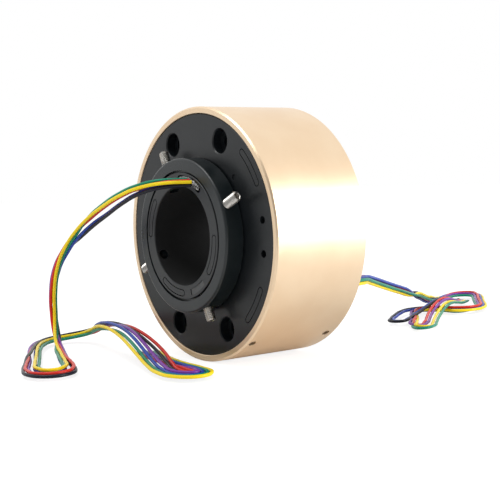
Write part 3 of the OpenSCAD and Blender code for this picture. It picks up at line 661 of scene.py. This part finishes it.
def make_set_screw(number, top):
    """A threaded set screw with a hexagon socket, drawn along +Z and then laid on its radius."""
    bm = bmesh.new()
    around = 48
    rows = 116
    rings = []
    for row in range(rows + 1):
        z = screw_len * row / rows
        ring = []
        for k in range(around):
            turn = 2 * math.pi * k / around
            phase = (z / thread_pitch - k / around) % 1.0
            tooth = 1 - abs(2 * phase - 1)
            tooth = min(max((tooth - thread_flat) / 0.76, 0), 1)
            radius = thread_r - thread_depth * (1 - tooth)
            ends = min(z / cone_len, (screw_len - z) / chamfer_len, 1.0)
            radius = min(radius, thread_r - end_step + end_step * ends)
            ring.append(bm.verts.new((radius * math.cos(turn), radius * math.sin(turn), z)))
        rings.append(ring)
    hex_r = socket_r / math.cos(math.pi / 6)

    def hexagon(scale, z):
        ring = []
        for k in range(around):
            turn = 2 * math.pi * k / around
            inside = (turn % (math.pi / 3)) - math.pi / 6
            radius = scale * hex_r * math.cos(math.pi / 6) / math.cos(inside)
            ring.append(bm.verts.new((radius * math.cos(turn), radius * math.sin(turn), z)))
        return ring

    rings.append(hexagon(1.12, screw_len))
    rings.append(hexagon(1.0, screw_len - 0.15))
    rings.append(hexagon(1.0, screw_len - socket_depth))
    rings.append(hexagon(0.35, screw_len - 2.6))
    for low, high in zip(rings, rings[1:]):
        for k in range(around):
            m = (k + 1) % around
            bm.faces.new((low[k], low[m], high[m], high[k]))
    bm.faces.new(rings[-1])
    bm.faces.new(list(reversed(rings[0])))
    turn = math.radians(screw_turn + 90 * (number - 1))
    out = Vector((math.cos(turn), 0, math.sin(turn)))
    side = Vector((0, 1, 0))
    other = out.cross(side)
    lay = Matrix((side, other, out)).transposed().to_4x4()
    centre = Matrix.Translation(out * (top - screw_len) + Vector((0, screw_y, 0)))
    bm.transform(Matrix.Scale(MM, 4) @ centre @ lay)
    bmesh.ops.recalc_face_normals(bm, faces=bm.faces)
    piece = finish_piece(bm, f"threaded_set_screw_{number}", "screw_steel", sharp=32)
    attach(piece, f"screw_{number}")
    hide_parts(f"set_screw_{number}")


for number, top in enumerate(screw_tops, 1):
    make_set_screw(number, top)


# ---------------------------------------------------------------- sealing of the lead slots

def make_seal(name, body, node, radius, turn, half, width, face, out, rise, seed):
    """Uneven bead of sealing resin on a lead slot: a dome over the slot, lumpy and ragged."""
    bm = bmesh.new()
    along, across = 72, 20
    rows = []
    for i in range(along + 1):
        row = []
        t = i / along
        angle = math.radians(turn + half * (2 * t - 1))
        end = math.sin(math.pi * t) ** 0.35 if 0 < t < 1 else 0.0
        for j in range(across + 1):
            s = 2 * j / across - 1
            r = radius + s * width / 2 * end
            x, z = r * math.cos(angle), r * math.sin(angle)
            lump = noise.fractal(Vector((x, z, seed)) * 0.9, 1.0, 2.0, 3)
            beads = noise.noise(Vector((x, z, seed + 5)) * 2.4)
            dome = (1 - s * s) ** 0.6 * end if abs(s) < 1 else 0.0
            high = rise * dome * (0.75 + 0.55 * lump + 0.5 * beads)
            row.append(bm.verts.new((x, face + out * (0.02 + max(high, 0.0)), z)))
        rows.append(row)
    for low, high in zip(rows, rows[1:]):
        for j in range(across):
            bm.faces.new((low[j], low[j + 1], high[j + 1], high[j]))
    bmesh.ops.remove_doubles(bm, verts=bm.verts, dist=0.001)
    rim = [e for e in bm.edges if e.is_boundary]
    sunk = bmesh.ops.extrude_edge_only(bm, edges=rim)
    for vert in (v for v in sunk["geom"] if isinstance(v, bmesh.types.BMVert)):
        vert.co.y = face - out * 0.5
    bmesh.ops.contextual_create(bm, geom=[e for e in bm.edges if e.is_boundary])
    bmesh.ops.recalc_face_normals(bm, faces=bm.faces)
    bm.transform(Matrix.Scale(MM, 4))
    piece = finish_piece(bm, name, seal_resin, sharp=60)
    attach(piece, body)
    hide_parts(node)


def make_seal_resin():
    """Glossy dark resin, mottled with pale bubbles."""
    finish, tree, shader = blank_material("seal_resin")
    place = add(tree, "TexCoord").outputs["Object"]
    cloud = add(tree, "TexNoise", {"Vector": place, "Scale": 900, "Detail": 3,
                                   "Roughness": 0.6, "Distortion": 1.2})
    colour = ramp(tree, cloud.outputs["Fac"], [(0.0, 0.006), (0.52, 0.012), (0.60, 0.22),
                                               (0.68, 0.55)])
    cells = add(tree, "TexVoronoi", {"Vector": place, "Scale": 1400})
    normal = bump(tree, cloud.outputs["Fac"], 0.8, 0.0003)
    normal = bump(tree, cells.outputs["Distance"], 0.3, 0.0001, normal)
    rough = place_group(tree, smudges, scale=300, low=0.06, high=0.22)
    set_shader(tree, shader, base_color=colour, roughness=rough.outputs["Value"], coat_weight=0.8,
               normal=normal)
    return finish


seal_resin = make_seal_resin()
make_seal("rotor_seal_bead", "rotor", "rotor_lead_potting", radius=22.0, turn=71.5, half=18.5,
          width=2.7, face=-8.0, out=-1, rise=0.9, seed=3)
make_seal("stator_seal_bead", "stator", "stator_lead_potting", radius=42.85, turn=-36.5,
          half=10.8, width=2.7, face=42.7, out=1, rise=0.8, seed=11)


# ---------------------------------------------------------------- floor and light

WHITE = (1, 1, 1, 1)
PAPER_GLOW = 0.82       # what the camera sees of the floor where no shadow falls
PAPER_SHADE = (0.34, 0.34, 0.34, 1)
ROOM_LIGHT = 0.68       # plain level of light from all round
DARK_WAY = (0.78, -0.62, 0.0)   # gloss sees less white on this side of the room
DARK_LEVEL = 0.4


def make_floor():
    """Pale paper that keeps the object's shadow."""
    bpy.ops.mesh.primitive_plane_add(size=8, location=(0, 0, FLOOR - 0.0001))
    floor = bpy.context.object
    floor.name = "floor"
    finish, tree, shader = blank_material("floor_paper")
    skin = place_group(tree, fine_grain, scale=400, tone_scale=3)
    colour = ramp(tree, skin.outputs["Tone"], [(0.3, 0.88), (0.7, 0.90)])
    set_shader(tree, shader, base_color=colour, roughness=0.7, specular_ior_level=0.2)
    output = [n for n in tree.nodes if n.type == "OUTPUT_MATERIAL"][0]
    path = add(tree, "LightPath")
    glow = add(tree, "Emission", {"Color": WHITE, "Strength": PAPER_GLOW})
    shade = add(tree, "BsdfDiffuse", {"Color": PAPER_SHADE})
    white = add(tree, "AddShader", {0: glow.outputs[0], 1: shade.outputs[0]})
    mixed = add(tree, "MixShader", {0: path.outputs["Is Camera Ray"], 1: shader.outputs[0],
                                    2: white.outputs[0]})
    tree.links.new(mixed.outputs[0], output.inputs["Surface"])
    floor.data.materials.append(finish)


def make_sky():
    """White all round for the camera and for gloss, and a plain level of light."""
    sky = bpy.data.worlds.new("studio")
    scene.world = sky
    sky.use_nodes = True
    tree = sky.node_tree
    tree.nodes.clear()
    path = add(tree, "LightPath")
    mirrored = calc(tree, "MAXIMUM", path.outputs["Is Glossy Ray"],
                    path.outputs["Is Transmission Ray"])
    way = add(tree, "TexCoord").outputs["Generated"]
    room = add(tree, "VectorMath", {0: way, 1: DARK_WAY},
               operation="DOT_PRODUCT").outputs["Value"]
    sheet = add(tree, "MapRange", {"Value": room, "From Min": 0.35, "From Max": 0.85,
                                   "To Min": 1.0, "To Max": DARK_LEVEL})
    white = calc(tree, "MAXIMUM", path.outputs["Is Camera Ray"],
                 calc(tree, "MULTIPLY", mirrored, sheet.outputs["Result"]))
    strength = calc(tree, "MAXIMUM", white, ROOM_LIGHT)
    strength = calc(tree, "MULTIPLY", strength,
                    calc(tree, "MAXIMUM", sheet.outputs["Result"],
                         calc(tree, "SUBTRACT", 1.0, mirrored)))
    glow = add(tree, "Background", {"Color": WHITE, "Strength": strength})
    add(tree, "OutputWorld", {"Surface": glow.outputs[0]})


def make_lamp(name, place, target, size, power):
    light = bpy.data.lights.new(name, "AREA")
    light.shape = "RECTANGLE"
    light.size, light.size_y = size
    light.energy = power
    lamp = bpy.data.objects.new(name, light)
    lamp.location = place
    lamp.rotation_euler = (Vector(target) - Vector(place)).to_track_quat("-Z", "Y").to_euler()
    scene.collection.objects.link(lamp)


make_floor()
make_sky()
make_lamp("side_lamp", (0.85, 0.70, 0.22), (0, 0.02, 0), (0.5, 0.45), 7.0)
make_lamp("top_lamp", (-0.1, -0.35, 1.1), (0, 0, 0), (0.6, 0.6), 5.0)
scene.view_settings.view_transform = "Standard"
